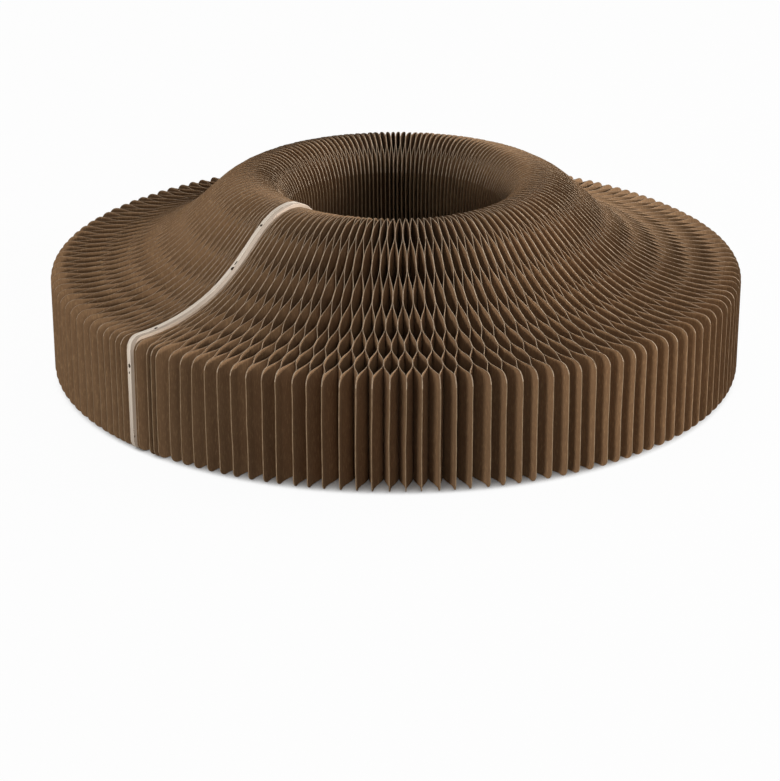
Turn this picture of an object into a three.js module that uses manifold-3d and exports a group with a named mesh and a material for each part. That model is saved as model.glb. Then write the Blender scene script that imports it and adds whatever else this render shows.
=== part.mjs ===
// Folding cat scratcher of glued kraft paper: a ring of upright sheets with a raised crest round a hole.
// The ring opens at a seam of two stiff end boards that magnets hold together, and folds flat to a stack.
// Millimetres, +Z up. The origin is the middle of the ring, on the floor.

import * as THREE from 'three';
import { mergeVertices } from 'three/addons/utils/BufferGeometryUtils.js';
import Module from 'manifold-3d';

const wasm = await Module();
wasm.setup();

// Ring
const OUTER_DIAMETER = 600;
const HOLE_DIAMETER = 180;
const SEAM_ANGLE = 225; // degrees about +Z from +X

// Outline of a sheet
const WALL_HEIGHT = 95; // upright outer edge
const CREST_HEIGHT = 170;
const CREST_ROLL = 33; // from the wall of the hole out to the top of the crest
const LIP_DROP = 45; // from the top of the crest down to the upright wall of the hole
const SHOULDER_RADIUS = 9; // upper corner of the outer edge
const TOE_RADIUS = 8; // lower corner of the outer edge
const SHOULDER_PULL = 115; // how far the slope keeps level after the shoulder
const CREST_PULL = 49; // how far the slope keeps level before the crest

// Paper core
const SECTIONS_PER_HALF = 15; // from the back of the ring round to the seam
const FINS_PER_SECTION = 2; // a fin is two sheets glued along the outer edge
const CELLS_DEEP = 4; // cells in line from the outer edge to the hole
const SHEET_THICKNESS = 0.5;
const GLUE_WIDTH = 2.5; // glued strip between two cells
const FIN_EDGE = 11; // glued strip along the outer edge
const HOLE_EDGE = 5; // glued strip along the hole
const PAPER_GAP = 0.3; // between one section and the next

// End boards and magnets
const BOARD_THICKNESS = 4;
const SEAM_GAP = 0.3; // between the two closed boards
const MAGNET_DIAMETER = 12;
const MAGNET_THICKNESS = 2;
const MAGNET_CLEARANCE = 0.3; // round a magnet and under it
const MAGNET_INSET = 32; // from the outer edge, and from the hole, to a low magnet
const MAGNET_RISE = 45; // height of the low magnets
const MAGNET_DROP = 34; // from the top of the crest down to the high magnet

// Smoothness
const OUTLINE_STEPS = 8; // straight pieces in each curve of a board's outline
const EDGE_STEPS = 60; // points in each curve that the heights of the sheets are read from
const MAGNET_SIDES = 20;
const FIN_COLUMNS = [0, 0.3, 0.8, 1]; // columns across the glued outer edge, as shares of its width

const OUTER_RADIUS = OUTER_DIAMETER / 2;
const HOLE_RADIUS = HOLE_DIAMETER / 2;
const CREST_RADIUS = HOLE_RADIUS + CREST_ROLL;
const SECTION_ANGLE = Math.PI / SECTIONS_PER_HALF;
const SHEETS = 2 * FINS_PER_SECTION;
const QUARTER = Math.PI / 2;

// Room for a board at the seam, shared out over the sections of its half
const BOARD_ROOM = SEAM_GAP / 2 + BOARD_THICKNESS + PAPER_GAP / 2;
const SECTION_ROOM = BOARD_ROOM / SECTIONS_PER_HALF;

// Radii of the glue lines, from the outer edge to the hole
const GLUE_LINES = 2 * CELLS_DEEP + 1;
const FIRST_LINE = OUTER_RADIUS - FIN_EDGE;
const LINE_PITCH = (FIRST_LINE - HOLE_RADIUS - HOLE_EDGE) / (GLUE_LINES - 1);
const LINES = Array.from({ length: GLUE_LINES }, (_, line) => FIRST_LINE - line * LINE_PITCH);

const KRAFT = new THREE.MeshStandardMaterial({ color: '#7d6144', roughness: 0.95, metalness: 0 });
const PALE_BOARD = new THREE.MeshStandardMaterial({ color: '#d8cfc2', roughness: 0.85, metalness: 0 });
const NICKEL = new THREE.MeshStandardMaterial({ color: '#a7a9ac', roughness: 0.3, metalness: 1 });

// Upper edge of a sheet: shoulder, hollow slope, crest and roll into the hole, as radius and height
function upperEdge() {
  const edge = new THREE.Path();
  const shoulder = new THREE.Vector2(OUTER_RADIUS - SHOULDER_RADIUS, WALL_HEIGHT);
  const crest = new THREE.Vector2(CREST_RADIUS, CREST_HEIGHT);
  edge.absarc(shoulder.x, shoulder.y - SHOULDER_RADIUS, SHOULDER_RADIUS, 0, QUARTER);
  edge.bezierCurveTo(shoulder.x - SHOULDER_PULL, shoulder.y, crest.x + CREST_PULL, crest.y, crest.x, crest.y);
  edge.absellipse(crest.x, crest.y - LIP_DROP, CREST_ROLL, LIP_DROP, QUARTER, Math.PI);
  return edge;
}

// Whole outline of a sheet or an end board
function sheetOutline() {
  const outline = new THREE.Shape();
  outline.moveTo(HOLE_RADIUS, 0);
  outline.lineTo(OUTER_RADIUS - TOE_RADIUS, 0);
  outline.absarc(OUTER_RADIUS - TOE_RADIUS, TOE_RADIUS, TOE_RADIUS, -QUARTER, 0);
  outline.lineTo(OUTER_RADIUS, WALL_HEIGHT - SHOULDER_RADIUS);
  outline.curves.push(...upperEdge().curves);
  outline.closePath();
  return outline;
}

const UPPER_EDGE = upperEdge().getPoints(EDGE_STEPS);

// Height of a sheet's upper edge at a radius
function topHeight(radius) {
  const next = UPPER_EDGE.findIndex((point) => point.x <= radius);
  if (next === 0) return UPPER_EDGE[0].y;
  if (next < 0) return UPPER_EDGE.at(-1).y;
  const outer = UPPER_EDGE[next - 1];
  const inner = UPPER_EDGE[next];
  return THREE.MathUtils.mapLinear(radius, outer.x, inner.x, outer.y, inner.y);
}

// Height of a sheet's lower edge at a radius: level, and rounded up at the toe
function bottomHeight(radius) {
  const reach = Math.max(0, radius - (OUTER_RADIUS - TOE_RADIUS));
  return TOE_RADIUS - Math.sqrt(Math.max(0, TOE_RADIUS ** 2 - reach ** 2));
}

// A plan point, as radius and angle, set off by a length across the sheets from a boundary between two sheets.
// Boundary 0 is the face towards the back of the ring, and the last one is the face towards the seam.
function planPoint(radius, boundary, offset = 0) {
  const share = boundary / SHEETS;
  const angle = share * SECTION_ANGLE + (offset - share * SECTION_ROOM) / radius;
  return new THREE.Vector2(radius, angle);
}

// Half the thickness of a glued pair or, on a face of the section, the thickness of its single sheet
function wallOffset(boundary) {
  const onFace = boundary === 0 || boundary === SHEETS;
  return onFace ? SHEET_THICKNESS + PAPER_GAP / 2 : SHEET_THICKNESS;
}

// One side of a fin, from its outer edge to the first glue line; the two sheets part slowly
function finSide(boundary, side) {
  return FIN_COLUMNS.map((share) => {
    const spread = SHEET_THICKNESS * (1 + share ** 2);
    return planPoint(OUTER_RADIUS - share * FIN_EDGE, boundary, side * spread);
  });
}

// One side of the glued pair along the hole, from the last glue line to the hole
function holeSide(boundary, side) {
  const radii = [LINES.at(-1), HOLE_RADIUS];
  return radii.map((radius) => planPoint(radius, boundary, side * SHEET_THICKNESS));
}

// A face of the section, from the first glue line past the outer edge to the one before the hole.
// It meets the next section at every second line, and lies on the fin's own glue at the others.
function facePoints(faceBoundary, finBoundary, side) {
  return LINES.slice(1, -1).map((radius, index) => {
    const meetsNext = index % 2 === 0;
    return meetsNext
      ? planPoint(radius, faceBoundary, side * PAPER_GAP / 2)
      : planPoint(radius, finBoundary, -side * SHEET_THICKNESS);
  });
}

// Outline of a section in plan: its two faces, its fins at the outer edge and its pairs at the hole
function sectionOutline() {
  const lastFin = SHEETS - 1;
  const points = [...finSide(1, -1), ...facePoints(0, 1, 1), ...holeSide(1, -1)];
  for (let fin = 1; fin < lastFin; fin += 2) {
    points.push(...holeSide(fin, 1).reverse());
    points.push(planPoint(LINES.at(-2) - GLUE_WIDTH / 2, fin + 1));
    points.push(...holeSide(fin + 2, -1));
  }
  points.push(...holeSide(lastFin, 1).reverse(), ...facePoints(SHEETS, lastFin, -1).reverse());
  for (let fin = lastFin; fin > 1; fin -= 2) {
    points.push(...finSide(fin, 1).reverse(), ...finSide(fin, -1));
    points.push(planPoint(LINES[1] + GLUE_WIDTH / 2, fin - 1));
  }
  points.push(...finSide(1, 1).reverse());
  return points;
}

// One cell between two sheets: pointed at a glue line at each end, and widest at the line between them
function cellOutline(boundary, line) {
  return [
    planPoint(LINES[line] - GLUE_WIDTH / 2, boundary),
    planPoint(LINES[line + 1], boundary - 1, wallOffset(boundary - 1)),
    planPoint(LINES[line + 2] + GLUE_WIDTH / 2, boundary),
    planPoint(LINES[line + 1], boundary + 1, -wallOffset(boundary + 1)),
  ];
}

// Every cell of a section; the cells of neighbouring boundaries are staggered by one glue line
function cellOutlines() {
  const cells = [];
  for (let boundary = 1; boundary < SHEETS; boundary += 1) {
    const first = boundary % 2 === 1 ? 0 : 1;
    for (let line = first; line + 2 < GLUE_LINES; line += 2) {
      cells.push(cellOutline(boundary, line));
    }
  }
  return cells;
}

// Adds a point half way along each wall that runs over the crest, where the upper edge bends most
function withCrestPoints(points) {
  const crestLine = LINES[GLUE_LINES - 3] + GLUE_WIDTH;
  return points.flatMap((point, index) => {
    const next = points[(index + 1) % points.length];
    const overCrest = Math.max(point.x, next.x) < crestLine;
    const long = Math.abs(point.x - next.x) > LINE_PITCH / 2;
    return overCrest && long ? [point, point.clone().lerp(next, 0.5)] : [point];
  });
}

// Plan points in millimetres, anticlockwise; the front half of the ring is the mirror image of the rear half
function toPlan(points, side) {
  const plan = points.map((point) => {
    return new THREE.Vector2(point.x * Math.cos(point.y), side * point.x * Math.sin(point.y));
  });
  return THREE.ShapeUtils.isClockWise(plan) ? plan.reverse() : plan;
}

// A section of the paper core: its plan of sheets and cells, raised to the sheets' own outline
function sectionGeometry(side) {
  const plan = new THREE.Shape(toPlan(withCrestPoints(sectionOutline()), side));
  plan.holes = cellOutlines().map((cell) => new THREE.Path(toPlan(withCrestPoints(cell), side)));
  const geometry = new THREE.ExtrudeGeometry(plan, { depth: 1, bevelEnabled: false });
  const position = geometry.getAttribute('position');
  for (let index = 0; index < position.count; index += 1) {
    const radius = Math.hypot(position.getX(index), position.getY(index));
    const isTop = position.getZ(index) > 0.5;
    position.setZ(index, isTop ? topHeight(radius) : bottomHeight(radius));
  }
  geometry.computeVertexNormals();
  return geometry;
}

// Closed geometry as a solid for cutting
function toSolid(geometry) {
  const bare = geometry.index ? geometry.toNonIndexed() : geometry.clone();
  bare.deleteAttribute('normal');
  bare.deleteAttribute('uv');
  const merged = mergeVertices(bare, 1e-4);
  return new wasm.Manifold(new wasm.Mesh({
    numProp: 3,
    vertProperties: new Float32Array(merged.getAttribute('position').array),
    triVerts: new Uint32Array(merged.index.array),
  }));
}

// Cut solid as geometry again
function toGeometry(solid) {
  const mesh = solid.getMesh();
  const geometry = new THREE.BufferGeometry();
  geometry.setAttribute('position', new THREE.BufferAttribute(mesh.vertProperties, 3));
  geometry.setIndex(new THREE.BufferAttribute(mesh.triVerts, 1));
  geometry.computeVertexNormals();
  return geometry;
}

// Middles of the magnets on a board, as radius and height
const MAGNET_PLACES = [
  new THREE.Vector2(OUTER_RADIUS - MAGNET_INSET, MAGNET_RISE),
  new THREE.Vector2(HOLE_RADIUS + MAGNET_INSET, MAGNET_RISE),
  new THREE.Vector2(CREST_RADIUS, CREST_HEIGHT - MAGNET_DROP),
];

// A disc let into a board's seam face, from a depth below the face to a height above it
function seamDisc(place, side, radius, depth, above = 0) {
  const disc = new THREE.CylinderGeometry(radius, radius, depth + above, MAGNET_SIDES);
  const middle = SEAM_GAP / 2 + (depth - above) / 2;
  return disc.translate(place.x, -side * middle, place.y);
}

// An end board: a stiff sheet outline with a blind pocket for each magnet in its seam face
function boardGeometry(side) {
  const plate = new THREE.ExtrudeGeometry(sheetOutline(), {
    depth: BOARD_THICKNESS,
    bevelEnabled: false,
    curveSegments: OUTLINE_STEPS,
  });
  plate.rotateX(QUARTER);
  plate.translate(0, side > 0 ? -SEAM_GAP / 2 : SEAM_GAP / 2 + BOARD_THICKNESS, 0);
  const pocketRadius = MAGNET_DIAMETER / 2 + MAGNET_CLEARANCE;
  const pocketDepth = MAGNET_THICKNESS + MAGNET_CLEARANCE;
  const board = MAGNET_PLACES.reduce((solid, place) => {
    const pocket = seamDisc(place, side, pocketRadius, pocketDepth, SEAM_GAP);
    return solid.subtract(toSolid(pocket));
  }, toSolid(plate));
  return toGeometry(board);
}

function addMesh(group, name, geometry, material) {
  const mesh = new THREE.Mesh(geometry, material);
  mesh.name = name;
  group.add(mesh);
  return mesh;
}

const twoDigits = (number) => String(number).padStart(2, '0');

// Half of the ring, from the back round to the seam; side is 1 for the rear half and -1 for the front half
function buildHalf(name, side) {
  const half = new THREE.Group();
  const section = sectionGeometry(side);
  for (let index = 0; index < SECTIONS_PER_HALF; index += 1) {
    const mesh = addMesh(half, `${name}_section_${twoDigits(index + 1)}`, section, KRAFT);
    const angle = index * SECTION_ANGLE;
    const room = index * SECTION_ROOM;
    mesh.rotation.z = side * angle;
    mesh.position.set(room * Math.sin(angle), -side * room * Math.cos(angle), 0);
  }

  const seam = new THREE.Group();
  seam.rotation.z = Math.PI;
  addMesh(seam, `${name}_end_board`, boardGeometry(side), PALE_BOARD);
  MAGNET_PLACES.forEach((place, index) => {
    const magnet = seamDisc(place, side, MAGNET_DIAMETER / 2, MAGNET_THICKNESS);
    addMesh(seam, `${name}_magnet_${index + 1}`, magnet, NICKEL);
  });
  half.add(seam);
  return half;
}

const scratcher = new THREE.Group();
scratcher.rotation.z = THREE.MathUtils.degToRad(SEAM_ANGLE) - Math.PI;
scratcher.add(buildHalf('front', -1), buildHalf('rear', 1));

export default scratcher;
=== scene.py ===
"""Folding cat scratcher: a ring of glued kraft sheets, with plywood end boards and magnets at its seam.

Metres, +Z up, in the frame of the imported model. The origin is the middle of the ring, on the floor.
"""
import logging
import math
import random
from bisect import bisect_left
from dataclasses import dataclass, field, replace
from enum import Enum, IntEnum
from functools import cached_property
from typing import Any

import bmesh
import bpy
from mathutils import Matrix, Vector, noise
from mathutils.geometry import interpolate_bezier


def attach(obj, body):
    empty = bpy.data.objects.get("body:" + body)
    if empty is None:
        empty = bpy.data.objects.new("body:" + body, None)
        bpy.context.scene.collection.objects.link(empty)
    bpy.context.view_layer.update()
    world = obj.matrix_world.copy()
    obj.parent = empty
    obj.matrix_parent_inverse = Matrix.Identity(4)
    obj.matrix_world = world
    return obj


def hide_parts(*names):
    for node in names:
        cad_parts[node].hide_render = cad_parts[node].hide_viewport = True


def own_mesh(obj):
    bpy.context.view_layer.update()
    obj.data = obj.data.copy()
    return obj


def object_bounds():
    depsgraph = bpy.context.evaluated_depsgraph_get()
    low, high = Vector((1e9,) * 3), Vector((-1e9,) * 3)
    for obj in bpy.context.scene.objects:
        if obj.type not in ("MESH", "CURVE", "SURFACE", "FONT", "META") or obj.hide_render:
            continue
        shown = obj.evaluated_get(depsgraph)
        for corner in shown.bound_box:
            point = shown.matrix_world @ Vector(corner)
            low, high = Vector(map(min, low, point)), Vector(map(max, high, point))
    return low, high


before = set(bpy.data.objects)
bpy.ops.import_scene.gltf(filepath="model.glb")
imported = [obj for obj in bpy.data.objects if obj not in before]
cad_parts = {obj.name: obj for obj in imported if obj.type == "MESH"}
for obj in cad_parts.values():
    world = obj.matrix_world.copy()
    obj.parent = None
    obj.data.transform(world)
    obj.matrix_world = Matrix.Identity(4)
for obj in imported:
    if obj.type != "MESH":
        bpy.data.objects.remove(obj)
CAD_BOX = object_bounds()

MM = 0.001
RIM_LIMIT = 0.5  # a face whose normal runs less than this across a sheet or board is its cut rim
UPPER_LIMIT = 0.3  # a rim whose normal rises by more than this is an upper edge
HALF_RING = 180.0  # degrees from the back of the ring to an end board
log = logging.getLogger("scratcher")


class Half(Enum):
    """The two halves of the ring, with the sense in which each runs from the back round to the seam."""

    FRONT = -1
    REAR = 1

    @property
    def label(self) -> str:
        """Word that starts the names of this half's nodes and bodies."""
        return self.name.lower()


class PaperSide(IntEnum):
    """Material slots of the sheets."""

    FACE = 0
    CUT_EDGE = 1
    WORN_EDGE = 2


class BoardSide(IntEnum):
    """Material slots of an end board."""

    FACE = 0
    EDGE = 1
    CORE_GAP = 2


def mix(first: float, last: float, share: float) -> float:
    """Value that lies a share of the way from the first to the last."""
    return first + (last - first) * share


def share_of(value: float, start: float, end: float) -> float:
    """Share of the way from start to end that a value has gone, from 0 to 1."""
    return min(1.0, max(0.0, (value - start) / (end - start)))


def quarter_drop(reach: float) -> float:
    """Share of its drop that a quarter round has made at a share of its reach."""
    return 1 - math.sqrt(1 - reach ** 2)


def across_sheets(turn: float) -> Vector:
    """Direction round the ring, and so across its sheets, at an angle about +Z."""
    return Vector((-math.sin(turn), math.cos(turn), 0))


def srgb(code: str) -> tuple[float, float, float, float]:
    """Turn an sRGB hex colour into linear light.

    Args:
        code: The colour, such as "#7d6043".

    Returns:
        Linear red, green, blue and an alpha of 1.
    """
    channels = [int(code[start:start + 2], 16) / 255 for start in (1, 3, 5)]
    linear = [c / 12.92 if c <= 0.04045 else ((c + 0.055) / 1.055) ** 2.4 for c in channels]
    return (*linear, 1.0)


def add_node(
    tree: bpy.types.NodeTree,
    kind: str,
    settings: dict[str, Any] | None = None,
    inputs: dict[str | int, Any] | None = None,
) -> bpy.types.Node:
    """Add a node with its settings, and fill or link its inputs.

    Args:
        tree: The node tree.
        kind: The node's type, such as "ShaderNodeTexNoise".
        settings: Properties of the node by name.
        inputs: Values or output sockets by the name or number of the input.

    Returns:
        The new node.
    """
    node = tree.nodes.new(kind)
    for name, value in (settings or {}).items():
        setattr(node, name, value)
    for name, value in (inputs or {}).items():
        if isinstance(value, bpy.types.NodeSocket):
            tree.links.new(value, node.inputs[name])
        else:
            node.inputs[name].default_value = value
    return node


def start_material(name: str) -> tuple[bpy.types.Material, bpy.types.NodeTree, bpy.types.NodeSocket]:
    """Make a material with nothing in its node tree but the object's own coordinates.

    Args:
        name: The name of the real material.

    Returns:
        The material, its tree, and the coordinates that its patterns follow.
    """
    material = bpy.data.materials.new(name)
    material.use_nodes = True
    tree = material.node_tree
    tree.nodes.clear()
    return material, tree, add_node(tree, "ShaderNodeTexCoord").outputs["Object"]


def per_size(size: float) -> float:
    """Scale of a noise whose grains are about this many metres across."""
    return 1 / size


@dataclass(frozen=True)
class KraftFace:
    """Uncoated recycled kraft paper off the machine: matt brown, with cloudy tone and short fibres."""

    tone: str = "#83664a"
    deep: str = "#71553b"
    fibre: str = "#977856"
    cloud_size: float = 45 * MM
    fibre_width: float = 1.4 * MM  # real fibres are finer; drawn this coarse so that they show
    fibre_stretch: float = 4.0
    fibre_relief: float = 0.08 * MM
    roughness: float = 0.93

    def material(self) -> bpy.types.Material:
        """Build the node tree of the sheets' broad faces.

        Returns:
            The material.
        """
        material, tree, place = start_material("kraft paper face")
        along = add_node(tree, "ShaderNodeMapping", inputs={
            "Vector": place, "Scale": (1, 1, 1 / self.fibre_stretch),
        })
        cloud = add_node(tree, "ShaderNodeTexNoise", inputs={
            "Vector": place, "Scale": per_size(self.cloud_size), "Detail": 3.0,
        })
        fibres = add_node(tree, "ShaderNodeTexNoise", inputs={
            "Vector": along.outputs["Vector"], "Scale": per_size(self.fibre_width),
            "Detail": 4.0, "Roughness": 0.65,
        })
        ground = add_node(tree, "ShaderNodeMix", {"data_type": "RGBA"}, {
            "Factor": cloud.outputs["Fac"], 6: srgb(self.tone), 7: srgb(self.deep),
        })
        share = add_node(tree, "ShaderNodeMapRange", inputs={
            "Value": fibres.outputs["Fac"], "From Min": 0.5, "From Max": 0.75,
        })
        colour = add_node(tree, "ShaderNodeMix", {"data_type": "RGBA"}, {
            "Factor": share.outputs["Result"], 6: ground.outputs[2], 7: srgb(self.fibre),
        })
        relief = add_node(tree, "ShaderNodeBump", inputs={
            "Height": fibres.outputs["Fac"], "Strength": 0.6, "Distance": self.fibre_relief,
        })
        shader = add_node(tree, "ShaderNodeBsdfPrincipled", inputs={
            "Base Color": colour.outputs[2], "Roughness": self.roughness,
            "Specular IOR Level": 0.2, "Normal": relief.outputs["Normal"],
        })
        add_node(tree, "ShaderNodeOutputMaterial", inputs={"Surface": shader.outputs["BSDF"]})
        return material


@dataclass(frozen=True)
class KraftCutEdge:
    """Guillotined edge of kraft paper: torn fibre ends scatter the light, so it is paler than the face."""

    name: str = "kraft paper cut edge"
    pale: str = "#857058"
    dull: str = "#6c5843"
    fray_size: float = 5 * MM
    roughness: float = 1.0

    def material(self) -> bpy.types.Material:
        """Build the node tree of the sheets' cut rims.

        Returns:
            The material.
        """
        material, tree, place = start_material(self.name)
        fray = add_node(tree, "ShaderNodeTexNoise", inputs={
            "Vector": place, "Scale": per_size(self.fray_size), "Detail": 4.0, "Roughness": 0.7,
        })
        share = add_node(tree, "ShaderNodeMapRange", inputs={
            "Value": fray.outputs["Fac"], "From Min": 0.35, "From Max": 0.65,
        })
        colour = add_node(tree, "ShaderNodeMix", {"data_type": "RGBA"}, {
            "Factor": share.outputs["Result"], 6: srgb(self.dull), 7: srgb(self.pale),
        })
        shader = add_node(tree, "ShaderNodeBsdfPrincipled", inputs={
            "Base Color": colour.outputs[2], "Roughness": self.roughness, "Specular IOR Level": 0.1,
        })
        add_node(tree, "ShaderNodeOutputMaterial", inputs={"Surface": shader.outputs["BSDF"]})
        return material


# the upper edges are paler still: partly scuffed, loose fibres, partly a painted highlight from the light
# above
WORN_EDGE = KraftCutEdge("kraft paper worn edge", pale="#b09d87", dull="#8b7660")


@dataclass(frozen=True)
class PlywoodEdge:
    """Sawn edge of poplar plywood: pale plies side by side, streaked by the saw, greyed near the floor by
    painted shade.
    """

    pale: str = "#e0d4c5"
    glue: str = "#b3a28e"
    streak: str = "#8f7c66"
    # colour of the painted shade that greys the edge towards the floor
    painted_shade: str = "#8d7f71"
    painted_shade_share: float = 0.6
    painted_shade_top: float = 100 * MM  # height at which the painted shade ends
    painted_shade_full: float = 0.0  # height up to which it is full
    ply: float = 1.35 * MM
    streak_width: float = 0.5 * MM
    streak_length: float = 40 * MM
    saw_relief: float = 0.1 * MM
    turn: float = 0.0  # of the seam about +Z
    roughness: float = 0.85

    def material(self) -> bpy.types.Material:
        """Build the node tree of a board's rim, with the plies counted across the seam.

        Returns:
            The material.
        """
        material, tree, place = start_material("poplar plywood edge")
        across = add_node(tree, "ShaderNodeMapping", inputs={
            "Vector": place, "Rotation": (0, 0, -self.turn),
        })
        wave_period = 2 * math.pi / 20  # of the wave texture at a scale of 1
        plies = add_node(tree, "ShaderNodeTexWave", {"bands_direction": "Y"}, {
            "Vector": across.outputs["Vector"], "Scale": wave_period / self.ply,
            "Distortion": 0.6, "Detail": 2.0, "Detail Scale": 0.3,
        })
        lengthwise = per_size(self.streak_length)
        lined = add_node(tree, "ShaderNodeMapping", inputs={
            "Vector": across.outputs["Vector"],
            "Scale": (lengthwise, per_size(self.streak_width), lengthwise),
        })
        streaks = add_node(tree, "ShaderNodeTexNoise", inputs={
            "Vector": lined.outputs["Vector"], "Scale": 1.0, "Detail": 3.0, "Roughness": 0.6,
        })
        ply_share = add_node(tree, "ShaderNodeMapRange", inputs={
            "Value": plies.outputs["Fac"], "From Min": 0.55, "From Max": 1.0, "To Max": 0.7,
        })
        streak_share = add_node(tree, "ShaderNodeMapRange", inputs={
            "Value": streaks.outputs["Fac"], "From Min": 0.5, "From Max": 0.75, "To Max": 0.75,
        })
        wood = add_node(tree, "ShaderNodeMix", {"data_type": "RGBA"}, {
            "Factor": ply_share.outputs["Result"], 6: srgb(self.pale), 7: srgb(self.glue),
        })
        colour = add_node(tree, "ShaderNodeMix", {"data_type": "RGBA"}, {
            "Factor": streak_share.outputs["Result"], 6: wood.outputs[2], 7: srgb(self.streak),
        })
        # painted shade: below a height the edge is mixed towards a darker grey, fully at its lowest part
        height = add_node(tree, "ShaderNodeSeparateXYZ", inputs={"Vector": place}).outputs["Z"]
        painted_shade_share = add_node(tree, "ShaderNodeMapRange", inputs={
            "Value": height, "From Min": self.painted_shade_full, "From Max": self.painted_shade_top,
            "To Min": self.painted_shade_share, "To Max": 0.0,
        })
        shaded = add_node(tree, "ShaderNodeMix", {"data_type": "RGBA"}, {
            "Factor": painted_shade_share.outputs["Result"], 6: colour.outputs[2], 7: srgb(self.painted_shade),
        })
        relief = add_node(tree, "ShaderNodeBump", inputs={
            "Height": streaks.outputs["Fac"], "Strength": 0.4, "Distance": self.saw_relief,
        })
        shader = add_node(tree, "ShaderNodeBsdfPrincipled", inputs={
            "Base Color": shaded.outputs[2], "Roughness": self.roughness,
            "Specular IOR Level": 0.25, "Normal": relief.outputs["Normal"],
        })
        add_node(tree, "ShaderNodeOutputMaterial", inputs={"Surface": shader.outputs["BSDF"]})
        return material


# the front board's edge is painted darker than the rear one's, as painted shade, and darker still below its
# shoulder
SHADED_FRONT_EDGE = PlywoodEdge(
    pale="#cfbead", glue="#aa9581", streak="#87715c",
    painted_shade="#6a5b4d", painted_shade_share=0.8, painted_shade_top=112 * MM, painted_shade_full=80 * MM,
)


@dataclass(frozen=True)
class PlywoodFace:
    """Peeled poplar face veneer, sanded: creamy, with soft long grain and faint darker rays."""

    pale: str = "#c8b5a2"
    grain: str = "#a58e78"
    grain_width: float = 5 * MM
    grain_length: float = 130 * MM
    pore_width: float = 0.7 * MM
    pore_length: float = 14 * MM
    pore_relief: float = 0.1 * MM
    grain_share: float = 0.7
    turn: float = 0.0  # of the seam about +Z
    roughness: float = 0.7

    def material(self) -> bpy.types.Material:
        """Build the node tree of a board's broad faces, with the grain upright.

        Returns:
            The material.
        """
        material, tree, place = start_material("poplar plywood face")
        across = add_node(tree, "ShaderNodeMapping", inputs={
            "Vector": place, "Rotation": (0, 0, -self.turn),
        })
        waved = add_node(tree, "ShaderNodeMapping", inputs={
            "Vector": across.outputs["Vector"],
            "Scale": (per_size(self.grain_width), 0, per_size(self.grain_length)),
        })
        pored = add_node(tree, "ShaderNodeMapping", inputs={
            "Vector": across.outputs["Vector"],
            "Scale": (per_size(self.pore_width), 0, per_size(self.pore_length)),
        })
        grain = add_node(tree, "ShaderNodeTexNoise", inputs={
            "Vector": waved.outputs["Vector"], "Scale": 1.0, "Detail": 4.0, "Distortion": 0.6,
        })
        pores = add_node(tree, "ShaderNodeTexNoise", inputs={
            "Vector": pored.outputs["Vector"], "Scale": 1.0, "Detail": 2.0,
        })
        pore_share = add_node(tree, "ShaderNodeMapRange", inputs={
            "Value": pores.outputs["Fac"], "From Min": 0.55, "From Max": 0.8, "To Max": 0.6,
        })
        share = add_node(tree, "ShaderNodeMath", {"operation": "MULTIPLY_ADD", "use_clamp": True}, {
            0: grain.outputs["Fac"], 1: self.grain_share, 2: pore_share.outputs["Result"],
        })
        colour = add_node(tree, "ShaderNodeMix", {"data_type": "RGBA"}, {
            "Factor": share.outputs["Value"], 6: srgb(self.pale), 7: srgb(self.grain),
        })
        relief = add_node(tree, "ShaderNodeBump", inputs={
            "Height": pores.outputs["Fac"], "Strength": 0.25, "Distance": self.pore_relief,
        })
        shader = add_node(tree, "ShaderNodeBsdfPrincipled", inputs={
            "Base Color": colour.outputs[2], "Roughness": self.roughness,
            "Specular IOR Level": 0.3, "Normal": relief.outputs["Normal"],
        })
        add_node(tree, "ShaderNodeOutputMaterial", inputs={"Surface": shader.outputs["BSDF"]})
        return material


@dataclass(frozen=True)
class CoreGap:
    """Inside of a gap in the plywood's core: raw wood painted almost black, as painted shade in the recess.
    """

    dark: str = "#2a211a"
    brown: str = "#46372a"
    grit: float = 1 * MM

    def material(self) -> bpy.types.Material:
        """Build the node tree of the gaps in a board's edge.

        Returns:
            The material.
        """
        material, tree, place = start_material("plywood core gap")
        grit = add_node(tree, "ShaderNodeTexNoise", inputs={"Vector": place, "Scale": per_size(self.grit)})
        colour = add_node(tree, "ShaderNodeMix", {"data_type": "RGBA"}, {
            "Factor": grit.outputs["Fac"], 6: srgb(self.dark), 7: srgb(self.brown),
        })
        shader = add_node(tree, "ShaderNodeBsdfPrincipled", inputs={
            "Base Color": colour.outputs[2], "Roughness": 1.0, "Specular IOR Level": 0.0,
        })
        add_node(tree, "ShaderNodeOutputMaterial", inputs={"Surface": shader.outputs["BSDF"]})
        return material


@dataclass(frozen=True)
class NickelPlate:
    """Barrel-plated nickel on a pressed magnet: bright, slightly warm, with a fine satin haze."""

    bright: str = "#c9c6bf"
    dull: str = "#aeaba4"
    haze_size: float = 2.5 * MM
    polish: float = 0.22
    haze: float = 0.38

    def material(self) -> bpy.types.Material:
        """Build the node tree of the magnets.

        Returns:
            The material.
        """
        material, tree, place = start_material("nickel plate")
        cloud = add_node(tree, "ShaderNodeTexNoise", inputs={
            "Vector": place, "Scale": per_size(self.haze_size), "Detail": 5.0,
        })
        colour = add_node(tree, "ShaderNodeMix", {"data_type": "RGBA"}, {
            "Factor": cloud.outputs["Fac"], 6: srgb(self.bright), 7: srgb(self.dull),
        })
        rough = add_node(tree, "ShaderNodeMapRange", inputs={
            "Value": cloud.outputs["Fac"], "To Min": self.polish, "To Max": self.haze,
        })
        shader = add_node(tree, "ShaderNodeBsdfPrincipled", inputs={
            "Base Color": colour.outputs[2], "Metallic": 1.0, "Roughness": rough.outputs["Result"],
        })
        add_node(tree, "ShaderNodeOutputMaterial", inputs={"Surface": shader.outputs["BSDF"]})
        return material


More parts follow.
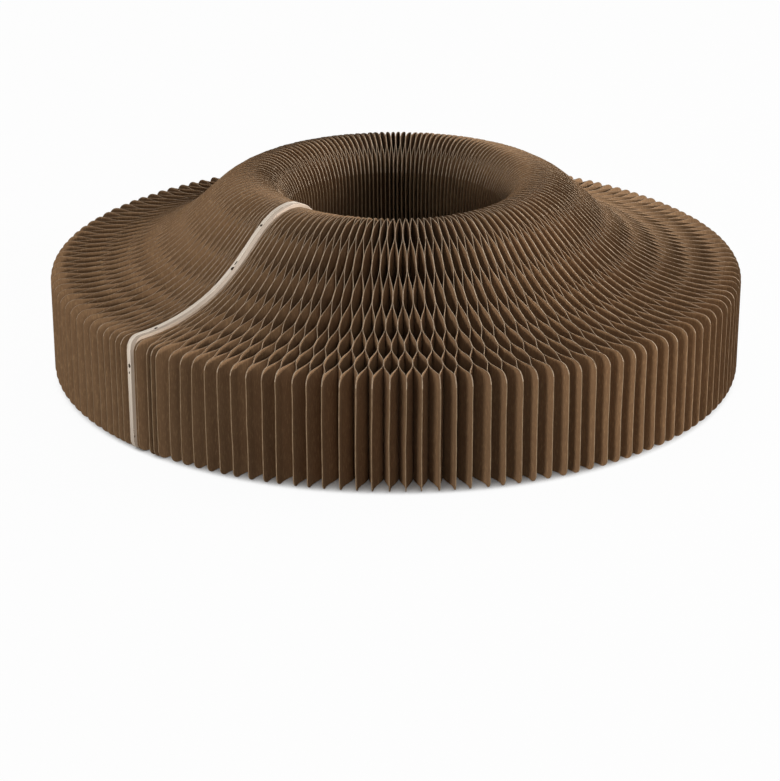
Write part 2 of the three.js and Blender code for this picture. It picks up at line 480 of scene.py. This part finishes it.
def seen_directly(tree: bpy.types.NodeTree) -> bpy.types.NodeSocket:
    """Add the test of whether a ray comes from the camera, a mirror or glass.

    Args:
        tree: The node tree.

    Returns:
        A socket that is 1 for such rays and 0 for those that light the object.
    """
    path = add_node(tree, "ShaderNodeLightPath")
    sharp = add_node(tree, "ShaderNodeMath", {"operation": "MAXIMUM"}, {
        0: path.outputs["Is Glossy Ray"], 1: path.outputs["Is Transmission Ray"],
    })
    either = add_node(tree, "ShaderNodeMath", {"operation": "MAXIMUM"}, {
        0: path.outputs["Is Camera Ray"], 1: sharp.outputs["Value"],
    })
    return either.outputs["Value"]


@dataclass(frozen=True)
class StudioFloor:
    """White sweep of painted board: the camera sees it near white, and it keeps the object's shadow."""

    paint: str = "#b4b3b1"
    blemish: str = "#adacaa"
    blemish_size: float = 300 * MM
    glow_share: float = 0.97
    nook_reach: float = 250 * MM  # of the walls that can close a nook off
    nook_dark: float = 0.1  # share of open sky at which the glow is gone
    nook_open: float = 0.5  # share of open sky from which it is full

    def material(self) -> bpy.types.Material:
        """Build the node tree of the floor, which glows white in the open where it is seen directly.

        Returns:
            The material.
        """
        material, tree, place = start_material("white studio floor")
        cloud = add_node(tree, "ShaderNodeTexNoise", inputs={
            "Vector": place, "Scale": per_size(self.blemish_size),
        })
        colour = add_node(tree, "ShaderNodeMix", {"data_type": "RGBA"}, {
            "Factor": cloud.outputs["Fac"], 6: srgb(self.paint), 7: srgb(self.blemish),
        })
        paint = add_node(tree, "ShaderNodeBsdfDiffuse", inputs={"Color": colour.outputs[2]})
        glow = add_node(tree, "ShaderNodeEmission", inputs={"Strength": 1.0})
        sky = add_node(tree, "ShaderNodeAmbientOcclusion", inputs={"Distance": self.nook_reach})
        open_share = add_node(tree, "ShaderNodeMapRange", inputs={
            "Value": sky.outputs["AO"], "From Min": self.nook_dark, "From Max": self.nook_open,
            "To Max": self.glow_share,
        })
        share = add_node(tree, "ShaderNodeMath", {"operation": "MULTIPLY"}, {
            0: seen_directly(tree), 1: open_share.outputs["Result"],
        })
        mixed = add_node(tree, "ShaderNodeMixShader", inputs={
            0: share.outputs["Value"], 1: paint.outputs["BSDF"], 2: glow.outputs["Emission"],
        })
        add_node(tree, "ShaderNodeOutputMaterial", inputs={"Surface": mixed.outputs["Shader"]})
        return material


@dataclass(frozen=True)
class SheetOutline:
    """Upright outline that every paper sheet and both end boards share, as radius and height."""

    outer_radius: float
    crest_height: float
    hole_radius: float = 90 * MM
    wall_height: float = 95 * MM
    crest_roll: float = 33 * MM
    lip_drop: float = 45 * MM
    shoulder_radius: float = 9 * MM
    toe_radius: float = 8 * MM
    shoulder_pull: float = 115 * MM
    crest_pull: float = 49 * MM
    arc_steps: int = 6
    roll_steps: int = 8
    slope_steps: int = 80

    @property
    def crest_radius(self) -> float:
        """Radius of the top of the crest."""
        return self.hole_radius + self.crest_roll

    @property
    def shoulder_start(self) -> float:
        """Radius at which the slope turns into the rounded shoulder."""
        return self.outer_radius - self.shoulder_radius

    @cached_property
    def slope(self) -> list[Vector]:
        """Points of the hollow slope, from the crest out to the shoulder.

        Returns:
            Points whose x is the radius, rising, and whose y is the height.
        """
        crest = Vector((self.crest_radius, self.crest_height))
        shoulder = Vector((self.shoulder_start, self.wall_height))
        off_crest = crest + Vector((self.crest_pull, 0))
        into_shoulder = shoulder - Vector((self.shoulder_pull, 0))
        return interpolate_bezier(crest, off_crest, into_shoulder, shoulder, self.slope_steps)

    def top(self, radius: float) -> float:
        """Height of the upper edge.

        Args:
            radius: Distance from the middle of the ring.

        Returns:
            The height at that radius.
        """
        if radius <= self.crest_radius:
            reach = share_of(radius, self.crest_radius, self.hole_radius)
            return self.crest_height - self.lip_drop * quarter_drop(reach)
        if radius >= self.shoulder_start:
            reach = share_of(radius, self.shoulder_start, self.outer_radius)
            return self.wall_height - self.shoulder_radius * quarter_drop(reach)
        after = bisect_left(self.slope, radius, key=lambda point: point.x)
        inner, outer = self.slope[after - 1], self.slope[after]
        return inner.lerp(outer, (radius - inner.x) / (outer.x - inner.x)).y

    def bottom(self, radius: float) -> float:
        """Height of the lower edge, level up to the rounded toe."""
        reach = share_of(radius, self.outer_radius - self.toe_radius, self.outer_radius)
        return self.toe_radius * quarter_drop(reach)

    def round_columns(self) -> list[float]:
        """Radii that the rounded corners and the roll into the hole need.

        Returns:
            Radii, unsorted.
        """
        quarter = math.pi / 2
        corner = [math.sin(quarter * step / self.arc_steps) for step in range(self.arc_steps + 1)]
        roll = [math.sin(quarter * step / self.roll_steps) for step in range(self.roll_steps + 1)]
        return [
            *(self.shoulder_start + self.shoulder_radius * share for share in corner),
            *(self.crest_radius - self.crest_roll * share for share in roll),
        ]


def spaced(values: list[float], least: float) -> list[float]:
    """Sort values and drop those that lie too close to the one before.

    Args:
        values: The values; the first and last are kept.
        least: The least step between two kept values.

    Returns:
        The kept values, rising.
    """
    ordered = sorted(values)
    kept = [ordered[0]]
    for value in ordered[1:-1]:
        if value - kept[-1] >= least and ordered[-1] - value >= least:
            kept.append(value)
    return [*kept, ordered[-1]]


def add_sheet(
    bm: bmesh.types.BMesh, columns: list[float], rows: int,
) -> list[tuple[bmesh.types.BMVert, float, float]]:
    """Add a flat grid and say which radius and share of the height each of its points stands for.

    Args:
        bm: The mesh that gets the grid.
        columns: Radii of the grid's columns.
        rows: Steps from the lower edge to the upper one.

    Returns:
        For each vertex, the vertex, its radius and its share of the height from 0 to 1.
    """
    half_side = 0.5  # of a grid that is 1 across
    last = len(columns) - 1
    made = bmesh.ops.create_grid(bm, x_segments=last, y_segments=rows, size=half_side)
    points = []
    for vert in made["verts"]:
        column = round((vert.co.x + half_side) * last)
        points.append((vert, columns[column], vert.co.y + half_side))
    return points


def finish_piece(
    bm: bmesh.types.BMesh, name: str, materials: list[bpy.types.Material],
) -> bpy.types.Object:
    """Turn a mesh into an object at the origin.

    Args:
        bm: The mesh, which is freed.
        name: The object's name.
        materials: Its material slots, in the order of the faces' numbers.

    Returns:
        The object, in the scene.
    """
    mesh = bpy.data.meshes.new(name)
    bm.to_mesh(mesh)
    bm.free()
    for material in materials:
        mesh.materials.append(material)
    piece = bpy.data.objects.new(name, mesh)
    bpy.context.scene.collection.objects.link(piece)
    log.info("%s: %d faces", name, len(mesh.polygons))
    return piece


@dataclass(frozen=True)
class FinSpread:
    """How the fins of a half are spread, in degrees: by a pitch, and one by one beside the end board."""

    pitches: tuple[tuple[float, float], ...]  # angle from the back of the ring, and the pitch there
    at_board: tuple[float, ...]  # the last fins' outer edges, as distances from the end board
    on_slope: tuple[float, ...] = ()  # the same fins above the shoulder, where they fan out there
    unevenness: float = 0.07  # of a pitch

    def pitch(self, angle: float) -> float:
        """Pitch of the fins at an angle from the back.

        Args:
            angle: Angle from the back of the ring.

        Returns:
            The pitch, between the two nearest stops.
        """
        for (start, first), (end, last) in zip(self.pitches, self.pitches[1:]):
            if angle <= end:
                return mix(first, last, (angle - start) / (end - start))
        return self.pitches[-1][1]

    def angles(self, rng: random.Random) -> tuple[list[float], list[float]]:
        """Angles of all fins, from the back to the end board.

        Args:
            rng: Source of the small unevenness.

        Returns:
            Angles in radians, rising: at the outer edge, and on the slope.
        """
        reach = HALF_RING - self.at_board[0]
        angle = self.pitch(0) / 2
        even = []
        while angle < reach - self.pitch(angle) / 2:
            even.append(angle)
            angle += self.pitch(angle)
        stretch = reach / angle
        loose = [
            place * stretch + rng.uniform(-1, 1) * self.unevenness * self.pitch(place) for place in even
        ]
        outer, inner = (
            [math.radians(place) for place in [*loose, *(HALF_RING - gap for gap in gaps)]]
            for gaps in (self.at_board, self.on_slope or self.at_board)
        )
        return outer, inner


@dataclass(frozen=True)
class SheetRun:
    """Where one sheet lies: the angle of its fin, and the angle at which it meets the sheet beyond."""

    fin: float
    meets: float
    slope_fin: float  # the same two above the shoulder
    slope_meets: float
    bed: float = 0.0  # thickness that already lies where it meets

    def angle(self, lean: float, fanned: float) -> float:
        """Angle of the sheet at one place.

        Args:
            lean: 0 at its fin, 1 where it meets the sheet beyond.
            fanned: 0 at the outer edge, 1 on the slope.

        Returns:
            The angle from the back of the ring.
        """
        outer = mix(self.fin, self.meets, lean)
        inner = mix(self.slope_fin, self.slope_meets, lean)
        return mix(outer, inner, fanned)


@dataclass
class PaperCore:
    """Ring of glued kraft sheets, built section by section, as the two halves fold away from the back."""

    outline: SheetOutline
    back_angle: float
    seam_room: float
    spreads: dict[Half, FinSpread] = field(default_factory=lambda: {
        Half.FRONT: FinSpread(
            ((0, 2.2), (40, 2.5), (125, 2.52), (140, 2.45), (168, 2.3)),
            (12.0, 9.75, 7.5, 4.8, 3.8, 2.9, 0.45),
            (12.0, 9.75, 7.45, 5.1, 3.35, 1.75, 0.45),
        ),
        Half.REAR: FinSpread(
            ((0, 2.25), (83, 2.4), (105, 2.75), (127, 3.0), (160, 2.75)),
            (20.9, 18.15, 15.45, 12.6, 10.35, 8.0, 6.2, 4.45, 2.9, 1.55),
        ),
    })
    sections: int = 15
    sheet: float = 0.38 * MM
    first_strip: float = 12 * MM  # glued along the outer edge
    strip: float = 9 * MM  # glued between two cells
    last_strip: float = 7 * MM  # glued along the hole
    first_line: float = 11 * MM  # from the outer edge to the middle of the first glue line
    last_line: float = 5 * MM  # from the hole to the middle of the last one
    lines: int = 9
    crest_line_shift: float = 7 * MM  # of the line next to the hole, inwards
    section_gap: float = 0.02 * MM
    straightness: float = 0.4  # of a sheet between two glue lines
    rows: int = 7
    bend_columns: int = 3
    least_column: float = 0.25 * MM
    sway: float = 1.2 * MM
    sway_size: float = 60 * MM
    ripple: float = 0.3 * MM
    ripple_size: float = 14 * MM
    board_hold: float = math.radians(8)  # from the board to where the sheets sway freely
    fan_reach: float = 35 * MM  # from the outer edge to where the fins have fanned out
    fray: float = 0.4 * MM
    sag: float = 3 * MM  # of the front half's worn crest, below its board
    sag_start: float = math.radians(60)  # from the back of the ring
    sag_full: float = math.radians(120)
    sag_reach: float = 75 * MM  # down the slope
    folded_share: float = 0.06  # of a section's thickness that is left when it is folded
    seed: int = 7
    strips: list[tuple[float, float]] = field(init=False)
    columns: list[float] = field(init=False)

    def __post_init__(self) -> None:
        """Work out the glue strips and the columns that every sheet shares."""
        outer, hole = self.outline.outer_radius, self.outline.hole_radius
        first, last = outer - self.first_line, hole + self.last_line
        pitch = (first - last) / (self.lines - 1)
        middles = [first - pitch * line for line in range(1, self.lines - 1)]
        middles[-1] -= self.crest_line_shift
        self.strips = [
            (outer, outer - self.first_strip),
            *((middle + self.strip / 2, middle - self.strip / 2) for middle in middles),
            (hole + self.last_strip, hole),
        ]
        bends = []
        for (_, start), (end, _) in zip(self.strips, self.strips[1:]):
            steps = self.bend_columns + 1
            bends += [mix(start, end, step / steps) for step in range(steps + 1)]
        self.columns = spaced([outer, hole, *bends, *self.outline.round_columns()], self.least_column)

    @property
    def section_angle(self) -> float:
        """Angle that one section takes of its half."""
        return math.pi / self.sections

    def lean(self, radius: float) -> float:
        """Where a sheet lies between its fin and the sheet that it meets.

        Args:
            radius: Distance from the middle of the ring.

        Returns:
            0 where the sheet is glued to its fin's other sheet, 1 where it is glued to the next fin.
        """
        for line, (start, end) in enumerate(self.strips):
            side = line % 2
            if radius >= end - self.least_column / 2:
                if radius <= start:
                    return side
                last_end = self.strips[line - 1][1]
                share = (last_end - radius) / (last_end - start)
                smooth = share * share * (3 - 2 * share)
                eased = mix(smooth, share, self.straightness)
                return eased if side else 1 - eased
        return (self.lines - 1) % 2

    def place(self, half: Half, radius: float, angle: float, offset: float, height: float) -> Vector:
        """Turn a place in a half into a point of the ring.

        Args:
            half: The half of the ring.
            radius: Distance from the middle of the ring.
            angle: Angle from the back of the ring towards the seam.
            offset: Length across the sheets, towards the seam.
            height: Height over the floor.

        Returns:
            The point in the model's frame, with the paper's slight sway.
        """
        room = self.seam_room * angle / math.pi
        turn = self.back_angle + half.value * (angle + (offset - room) / radius)
        point = Vector((radius * math.cos(turn), radius * math.sin(turn), height))
        freedom = share_of(angle, math.pi, math.pi - self.board_hold)
        ripple = self.ripple * noise.noise(point / self.ripple_size)
        sway = self.sway * noise.noise(point / self.sway_size)
        return point + across_sheets(turn) * freedom * (sway + ripple)

    def crest_sag(self, half: Half, angle: float, radius: float) -> float:
        """How far the paper sags below the outline at the worn crest of the front half.

        Args:
            half: The half of the ring.
            angle: Angle from the back of the ring towards the seam.
            radius: Distance from the middle of the ring.

        Returns:
            The sag, 0 away from that crest.
        """
        if half is Half.REAR:
            return 0.0
        crest = self.outline.crest_radius
        round_share = share_of(angle, self.sag_start, self.sag_full)
        slope_share = share_of(radius, crest + self.sag_reach, crest)
        return self.sag * round_share * slope_share

    def add_one_sheet(self, bm: bmesh.types.BMesh, half: Half, run: SheetRun, droop: float) -> None:
        """Add one sheet, wound between its fin and the sheet that it meets beyond.

        Args:
            bm: The section's mesh.
            half: The half of the ring.
            run: Where the sheet lies.
            droop: How much lower than the outline its upper edge was cut.
        """
        past_fin = run.meets >= run.fin
        gap = self.section_gap / 2
        at_fin = 0.0 if past_fin else -self.sheet
        at_meeting = -self.sheet - gap - run.bed if past_fin else gap + run.bed
        outer = self.outline.outer_radius
        for vert, radius, share in add_sheet(bm, self.columns, self.rows):
            lean = self.lean(radius) if run.meets != run.fin else 1.0
            angle = run.angle(lean, share_of(radius, outer, outer - self.fan_reach))
            sag = droop + self.crest_sag(half, run.fin, radius)
            height = mix(self.outline.bottom(radius), self.outline.top(radius) - sag, share)
            vert.co = self.place(half, radius, angle, mix(at_fin, at_meeting, lean), height)

    def runs(self, half: Half, rng: random.Random) -> list[list[SheetRun]]:
        """Share the sheets of a half out over its sections; the last sheet lies flat on the end board.

        Args:
            half: The half of the ring.
            rng: Source of the small unevenness.

        Returns:
            For each section, counted from the back, its sheets.
        """
        outer, inner = self.spreads[half].angles(rng)
        fins = list(zip(outer, inner))
        between = [((a + c) / 2, (b + d) / 2) for (a, b), (c, d) in zip(fins, fins[1:])]
        back, board = (0.0, 0.0), (math.pi, math.pi)
        meets = [back, *between, board]
        sections: list[list[SheetRun]] = [[] for _ in range(self.sections)]
        for (fin, slope_fin), *sides in zip(fins, meets, meets[1:]):
            for meeting, slope_meeting in sides:
                bed = self.sheet if meeting == math.pi else 0.0
                run = SheetRun(fin, meeting, slope_fin, slope_meeting, bed)
                sections[int(fin / self.section_angle)].append(run)
        sections[-1].append(SheetRun(*board, *board))
        return sections

    def build_section(
        self, half: Half, index: int, runs: list[SheetRun], rng: random.Random,
        paper: list[bpy.types.Material],
    ) -> None:
        """Build one section of sheets, hang it on its leaf's body and hide the part that it replaces.

        Args:
            half: The half of the ring.
            index: The section, counted from the back.
            runs: Where its sheets lie.
            rng: Source of the small unevenness.
            paper: Face, cut edge, and upper edge of the paper, which is worn and painted paler as a painted
                highlight.
        """
        number = f"{index + 1:02d}"
        bm = bmesh.new()
        for run in runs:
            self.add_one_sheet(bm, half, run, rng.uniform(0, self.fray))
        self.thicken(bm, half)
        piece = finish_piece(bm, f"{half.label}_sheets_{number}", paper)

        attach(piece, f"{half.label}_leaf_{number}" if index else "back_leaf")
        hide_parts(f"{half.label}_section_{number}")
        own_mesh(piece)

    def thicken(self, bm: bmesh.types.BMesh, half: Half) -> None:
        """Give the sheets their thickness towards the seam, and mark their cut rims.

        Args:
            bm: The section's mesh, whose sheets are surfaces.
            half: The half of the ring.
        """
        bm.normal_update()
        for face in bm.faces:
            middle = face.calc_center_median()
            towards_seam = Vector((-middle.y, middle.x, 0)) * half.value
            if face.normal.dot(towards_seam) > 0:
                face.normal_flip()
        bm.normal_update()
        bmesh.ops.solidify(bm, geom=bm.faces[:], thickness=self.sheet)
        bm.normal_update()
        for face in bm.faces:
            middle = face.calc_center_median()
            across = Vector((-middle.y, middle.x, 0)).normalized()
            is_rim = abs(face.normal.dot(across)) < RIM_LIMIT
            if is_rim:
                # upward-facing rims get the paler edge: partly wear, partly a painted highlight from the
                # light above
                is_upper = face.normal.z > UPPER_LIMIT
                face.material_index = PaperSide.WORN_EDGE if is_upper else PaperSide.CUT_EDGE
            face.smooth = not is_rim
        for edge in bm.edges:
            edge.smooth = len({face.material_index for face in edge.link_faces}) == 1

    def build(self) -> None:
        """Build every section of both halves."""
        paper = [finish.material() for finish in (KraftFace(), KraftCutEdge(), WORN_EDGE)]
        for half in Half:
            rng = random.Random(self.seed + half.value)
            for index, runs in enumerate(self.runs(half, rng)):
                self.build_section(half, index, runs, rng, paper)


@dataclass(frozen=True)
class Void:
    """A gap in a board's core that shows at its edge: its place as radius and height, and its size."""

    half: Half
    radius: float
    height: float
    length: float
    width: float
    depth_share: float  # of the board's thickness, from the seam


@dataclass
class SeamEnd:
    """End board of a half, with the magnets let into its seam face."""

    outline: SheetOutline
    half: Half
    seam_angle: float
    board: float = 4 * MM
    seam_gap: float = 0.3 * MM
    arris: float = 0.35 * MM
    rows: int = 3
    column_step: float = 9 * MM
    least_column: float = 0.4 * MM
    magnet_radius: float = 6 * MM
    magnet_thickness: float = 2 * MM
    magnet_clearance: float = 0.3 * MM
    magnet_inset: float = 32 * MM
    magnet_rise: float = 45 * MM
    magnet_drop: float = 34 * MM
    magnet_sides: int = 48
    magnet_chamfer: float = 0.3 * MM
    proud: float = 2.4 * MM  # by which the board rises over the paper on the lower slope
    proud_from: float = 130 * MM  # radius at which it starts to
    proud_full: float = 230 * MM  # radius from which it stands so proud

    @property
    def axes(self) -> Matrix:
        """Turn from the seam's own axes, x outwards and y across the boards, to the model's."""
        return Matrix.Rotation(self.seam_angle, 4, "Z")

    @property
    def seam_side(self) -> float:
        """Sign of y from the seam into this board."""
        return -self.half.value

    def top(self, radius: float) -> float:
        """Height of the board's upper edge, which the sagging paper leaves bare on the slope.

        Args:
            radius: Distance from the middle of the ring.

        Returns:
            The height at that radius.
        """
        share = share_of(radius, self.proud_from, self.proud_full)
        fade = share_of(radius, self.outline.outer_radius, self.outline.shoulder_start)
        return self.outline.top(radius) + self.proud * share * math.sqrt(fade)

    def magnet_places(self) -> list[tuple[float, float]]:
        """Middles of the magnets.

        Returns:
            Radius and height of each.
        """
        outline = self.outline
        return [
            (outline.outer_radius - self.magnet_inset, self.magnet_rise),
            (outline.hole_radius + self.magnet_inset, self.magnet_rise),
            (outline.crest_radius, outline.crest_height - self.magnet_drop),
        ]

    def plate(self, materials: list[bpy.types.Material]) -> bpy.types.Object:
        """Build the board's plate with softened arrises.

        Args:
            materials: Face and edge of the plywood, and the inside of its gaps.

        Returns:
            The plate, in the model's frame.
        """
        outline = self.outline
        span = outline.outer_radius - outline.hole_radius
        steps = math.ceil(span / self.column_step)
        even = [outline.hole_radius + span * step / steps for step in range(steps + 1)]
        columns = spaced([*even, *outline.round_columns()], self.least_column)
        bm = bmesh.new()
        for vert, radius, share in add_sheet(bm, columns, self.rows):
            height = mix(outline.bottom(radius), self.top(radius), share)
            vert.co = (radius, self.seam_side * self.seam_gap / 2, height)
        bm.normal_update()
        for face in bm.faces:
            if face.normal.y * self.seam_side > 0:
                face.normal_flip()
        bm.normal_update()
        bmesh.ops.solidify(bm, geom=bm.faces[:], thickness=self.board)
        bm.normal_update()
        for face in bm.faces:
            face.material_index = BoardSide.EDGE if abs(face.normal.y) < RIM_LIMIT else BoardSide.FACE
        arrises = [edge for edge in bm.edges if len({face.material_index for face in edge.link_faces}) == 2]
        softened = bmesh.ops.bevel(
            bm, geom=arrises, offset=self.arris, affect="EDGES", segments=2, profile=0.5, material=-1,
        )
        for face in softened["faces"]:
            face.material_index = BoardSide.EDGE
        bmesh.ops.recalc_face_normals(bm, faces=bm.faces[:])
        bm.transform(self.axes)
        return finish_piece(bm, f"{self.half.label}_board", materials)

    def cut(self, plate: bpy.types.Object, voids: list[Void]) -> None:
        """Cut the magnets' pockets and the core gaps out of the plate.

        Args:
            plate: The plate, which is changed.
            voids: The gaps of both boards.
        """
        cutters = []
        for radius, height in self.magnet_places():
            depth = self.magnet_thickness + self.magnet_clearance
            cutters.append(self.disc("pocket", radius, height, self.magnet_radius + self.magnet_clearance,
                                     -self.seam_gap, depth, plate.data.materials[:1]))
        for void in voids:
            if void.half is self.half:
                cutters.append(self.void_cutter(void, plate.data.materials[:]))
        for cutter in cutters:
            boolean = plate.modifiers.new(cutter.name, "BOOLEAN")
            boolean.operation = "DIFFERENCE"
            boolean.solver = "EXACT"
            boolean.object = cutter
        bpy.context.view_layer.update()
        evaluated = plate.evaluated_get(bpy.context.evaluated_depsgraph_get())
        cut_mesh = bpy.data.meshes.new_from_object(evaluated)
        plate.modifiers.clear()
        plate.data = cut_mesh
        for cutter in cutters:
            bpy.data.objects.remove(cutter)

    def void_cutter(self, void: Void, materials: list[bpy.types.Material]) -> bpy.types.Object:
        """Build the blunt ellipsoid that cuts a core gap.

        Args:
            void: The gap.
            materials: The plate's materials.

        Returns:
            The cutter.
        """
        bm = bmesh.new()
        bmesh.ops.create_icosphere(bm, subdivisions=2, radius=0.5)
        # the cut faces of the gap take the near-black painted shade
        for face in bm.faces:
            face.material_index = BoardSide.CORE_GAP
        across = self.seam_side * (self.seam_gap / 2 + self.board * void.depth_share)
        bmesh.ops.scale(bm, verts=bm.verts[:], vec=(void.length, void.width, void.length))
        bmesh.ops.translate(bm, verts=bm.verts[:], vec=(void.radius, across, void.height))
        bm.transform(self.axes)
        return finish_piece(bm, "core_gap_cutter", materials)

    def disc(
        self, name: str, radius: float, height: float, size: float, start: float, end: float,
        materials: list[bpy.types.Material], chamfer: float = 0.0,
    ) -> bpy.types.Object:
        """Build a disc whose axis runs across the seam.

        Args:
            name: The object's name.
            radius: Distance of its middle from the middle of the ring.
            height: Height of its middle.
            size: Its own radius.
            start: Depth in the board at which it starts; less than 0 is outside the seam face.
            end: Depth at which it ends.
            materials: Its materials.
            chamfer: Size of its softened edges.

        Returns:
            The disc.
        """
        bm = bmesh.new()
        bmesh.ops.create_cone(
            bm, cap_ends=True, segments=self.magnet_sides, radius1=size, radius2=size, depth=end - start,
        )
        if chamfer:
            rims = [edge for edge in bm.edges if abs(edge.verts[0].co.z - edge.verts[1].co.z) < chamfer / 2]
            bmesh.ops.bevel(
                bm, geom=rims, offset=chamfer, affect="EDGES", segments=3, profile=0.5, material=-1,
            )
        across = self.seam_side * (self.seam_gap / 2 + (start + end) / 2)
        bm.transform(Matrix.Rotation(math.pi / 2, 4, "X"))
        bmesh.ops.translate(bm, verts=bm.verts[:], vec=(radius, across, height))
        bm.transform(self.axes)
        return finish_piece(bm, name, materials)

    def build(
        self, board_materials: list[bpy.types.Material], nickel: bpy.types.Material, voids: list[Void],
    ) -> None:
        """Build the board and its magnets.

        Args:
            board_materials: Face and edge of the plywood, and the inside of its gaps.
            nickel: Finish of the magnets.
            voids: The gaps of both boards.
        """
        label = self.half.label
        plate = self.plate(board_materials)
        self.cut(plate, voids)
        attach(plate, f"{label}_seam_end")
        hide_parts(f"{label}_end_board")
        for number, (radius, height) in enumerate(self.magnet_places(), start=1):
            magnet = self.disc(f"{label}_seam_magnet_{number}", radius, height, self.magnet_radius, 0.0,
                               self.magnet_thickness, [nickel], self.magnet_chamfer)
            for face in magnet.data.polygons:
                face.use_smooth = len(face.vertices) == 4
            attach(magnet, f"{label}_seam_end")
            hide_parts(f"{label}_magnet_{number}")


@dataclass(frozen=True)
class SoftBox:
    """A large soft lamp: where it stands and its size in metres, and its power in watts."""

    name: str
    place: tuple[float, float, float]
    width: float
    height: float
    power: float

    def build(self, target: Vector) -> None:
        """Hang the lamp and turn it to the object.

        Args:
            target: The point that it faces.
        """
        lamp = bpy.data.lights.new(self.name, "AREA")
        lamp.shape = "RECTANGLE"
        lamp.size, lamp.size_y = self.width, self.height
        lamp.energy = self.power
        holder = bpy.data.objects.new(self.name, lamp)
        holder.location = self.place
        holder.rotation_euler = (target - Vector(self.place)).to_track_quat("-Z", "Y").to_euler()
        bpy.context.scene.collection.objects.link(holder)


@dataclass
class Studio:
    """White floor, soft lamps and the camera at the photograph's viewing angle."""

    floor_size: float = 14.0
    floor_drop: float = 0.5 * MM
    world_light: float = 0.2
    image_width: int = 780
    sensor_width: float = 36.0  # millimetres, as Blender counts lenses
    focal_pixels: float = 2461.6
    distance: float = 2.2
    elevation: float = math.radians(21.8)
    sight: float = 50.0  # metres that the camera sees
    target: tuple[float, float, float] = (-5.1 * MM, 0.0, -32.6 * MM)
    lamp_target: tuple[float, float, float] = (0.0, 0.0, 80 * MM)
    lamps: tuple[SoftBox, ...] = (
        SoftBox("overhead softbox", (-0.1, 1.2, 2.2), 2.2, 1.4, 34),
        SoftBox("front left softbox", (-1.25, -2.7, 0.36), 0.75, 0.5, 54),
        SoftBox("front softbox", (0.45, -2.6, 1.1), 0.8, 0.6, 12),
        SoftBox("right softbox", (2.3, -0.05, 0.65), 1.0, 0.6, 78),
    )

    def build_floor(self) -> None:
        """Lay the floor just under the object."""
        bm = bmesh.new()
        bmesh.ops.create_grid(bm, x_segments=1, y_segments=1, size=self.floor_size / 2)
        bmesh.ops.translate(bm, verts=bm.verts[:], vec=(0, 0, -self.floor_drop))
        finish_piece(bm, "studio_floor", [StudioFloor().material()])

    def build_world(self) -> None:
        """Surround the object with an even light, white where it is seen directly."""
        world = bpy.data.worlds.new("white studio")
        world.use_nodes = True
        tree = world.node_tree
        tree.nodes.clear()
        strength = add_node(tree, "ShaderNodeMapRange", inputs={
            "Value": seen_directly(tree), "To Min": self.world_light, "To Max": 1.0,
        })
        white = add_node(tree, "ShaderNodeBackground", inputs={
            "Color": srgb("#ffffff"), "Strength": strength.outputs["Result"],
        })
        add_node(tree, "ShaderNodeOutputWorld", inputs={"Surface": white.outputs["Background"]})
        bpy.context.scene.world = world

    def build_camera(self) -> None:
        """Set the camera where the photograph was taken from."""
        lens = bpy.data.cameras.new("photograph")
        lens.sensor_fit = "HORIZONTAL"
        lens.sensor_width = self.sensor_width
        lens.lens = self.focal_pixels / self.image_width * self.sensor_width
        lens.clip_end = self.sight
        camera = bpy.data.objects.new("photograph", lens)
        back = Vector((0, -math.cos(self.elevation), math.sin(self.elevation)))
        camera.location = Vector(self.target) + back * self.distance
        camera.rotation_euler = (math.pi / 2 - self.elevation, 0, 0)
        bpy.context.scene.collection.objects.link(camera)
        bpy.context.scene.camera = camera

    def build(self) -> None:
        """Set up the floor, the light and the camera."""
        self.build_camera()
        self.build_floor()
        self.build_world()
        for lamp in self.lamps:
            lamp.build(Vector(self.lamp_target))
        bpy.context.scene.view_settings.view_transform = "Standard"


def core_gaps(end: SeamEnd) -> list[Void]:
    """Gaps in the plywood that show along the seam.

    Args:
        end: One of the two ends, which are alike.

    Returns:
        The gaps of both boards.
    """

    def on_top(half: Half, radius: float, length: float, width: float, depth_share: float) -> Void:
        """Set a gap into the upper edge at a radius."""
        return Void(half, radius, end.top(radius), length, width, depth_share)

    def on_wall(half: Half, height: float, length: float, width: float, depth_share: float) -> Void:
        """Set a gap into the upright outer edge at a height."""
        return Void(half, end.outline.outer_radius, height, length, width, depth_share)

    return [
        on_top(Half.REAR, 155.5 * MM, 2.8 * MM, 2.4 * MM, 0.45),
        on_top(Half.REAR, 189 * MM, 3.6 * MM, 3.2 * MM, 0.15),
        on_top(Half.REAR, 184.5 * MM, 4.4 * MM, 1.2 * MM, 0.3),
        on_top(Half.REAR, 272 * MM, 3.4 * MM, 2.0 * MM, 0.1),
        on_wall(Half.REAR, 73 * MM, 3.8 * MM, 2.6 * MM, 0.35),
        on_wall(Half.REAR, 67 * MM, 2.4 * MM, 1.2 * MM, 0.45),
        on_wall(Half.FRONT, 13.5 * MM, 3.6 * MM, 2.6 * MM, 0.2),
        on_wall(Half.FRONT, 18.5 * MM, 2.4 * MM, 1.4 * MM, 0.1),
    ]


def main() -> None:
    """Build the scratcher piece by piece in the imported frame."""
    logging.basicConfig(level=logging.INFO, format="%(name)s: %(message)s")
    low, high = CAD_BOX
    back_angle = math.radians(45)
    seam_angle = back_angle + math.pi
    outline = SheetOutline(outer_radius=(high[0] - low[0]) / 2, crest_height=high[2])
    ends = {half: SeamEnd(outline, half, seam_angle) for half in Half}
    paper_gap = 0.3 * MM
    room = ends[Half.FRONT].seam_gap / 2 + ends[Half.FRONT].board + paper_gap / 2

    Studio().build()
    PaperCore(outline, back_angle, room).build()
    face = PlywoodFace(turn=seam_angle).material()
    # near-black painted shade for the insides of the core gaps
    gap = CoreGap().material()
    nickel = NickelPlate().material()
    # the front board takes the edge with the painted shade
    edges = {Half.FRONT: SHADED_FRONT_EDGE, Half.REAR: PlywoodEdge()}
    for half, end in ends.items():
        edge = replace(edges[half], turn=seam_angle).material()
        end.build([face, edge, gap], nickel, core_gaps(end))


if __name__ == "__main__":
    main()
